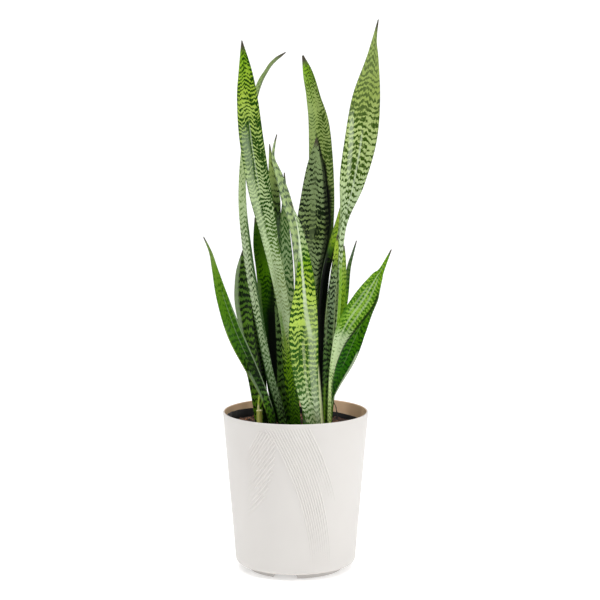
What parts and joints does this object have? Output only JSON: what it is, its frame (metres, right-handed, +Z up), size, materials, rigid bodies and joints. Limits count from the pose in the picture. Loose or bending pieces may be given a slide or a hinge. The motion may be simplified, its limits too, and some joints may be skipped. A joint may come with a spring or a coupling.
{
  "type": "potted snake plant",
  "caption": "Upright snake plant with banded sword-shaped leaves in a tapered, finely ribbed planter pot on low feet.",
  "frame": {"origin": "on the floor under the middle of the whole plant's box; the pot's axis is 3.5 mm to the left of it, at X = -0.0035", "axes": "+Z up, +X to the right and -Y towards the viewer of the picture"},
  "size_m": [0.3006, 0.24, 0.9012],
  "materials": {
    "pot_plastic": "warm white, satin, with fine moulded ribs",
    "liner_plastic": "black, soft sheen",
    "potting_soil": "damp bark and peat mix",
    "leaf_grey_green": "waxy leaf, pale grey-green with dark cross bands",
    "leaf_mid_green": "waxy leaf, mid green with dark cross bands",
    "leaf_dark_green": "waxy leaf, dark green with near-black cross bands",
    "leaf_yellow_green": "waxy leaf, yellow-green with green cross bands",
    "dry_fibre": "dry brown-black fibre"
  },
  "bodies": {
    "root": {"planter_pot": "pot_plastic", "nursery_liner": "liner_plastic", "potting_soil": "potting_soil", "leaf_tall_left": "leaf_grey_green", "leaf_tall_left_curled": "leaf_grey_green", "leaf_left_back_broad": "leaf_mid_green", "leaf_left_dark": "leaf_dark_green", "leaf_left_thin": "leaf_mid_green", "leaf_front_centre": "leaf_grey_green", "leaf_centre_grey": "leaf_grey_green", "leaf_centre_dark": "leaf_dark_green", "leaf_centre_chevron": "leaf_mid_green", "leaf_centre_right_broad": "leaf_dark_green", "leaf_tall_centre": "leaf_mid_green", "leaf_tall_right": "leaf_grey_green", "leaf_right_bright": "leaf_yellow_green", "leaf_right_yellow": "leaf_yellow_green", "leaf_right_narrow": "leaf_dark_green", "leaf_right_green": "leaf_mid_green", "leaf_right_small": "leaf_dark_green", "leaf_right_low": "leaf_mid_green", "leaf_left_outer": "leaf_mid_green", "cut_shoot": "leaf_yellow_green", "dry_fibre": "dry_fibre"}
  },
  "joints": []
}
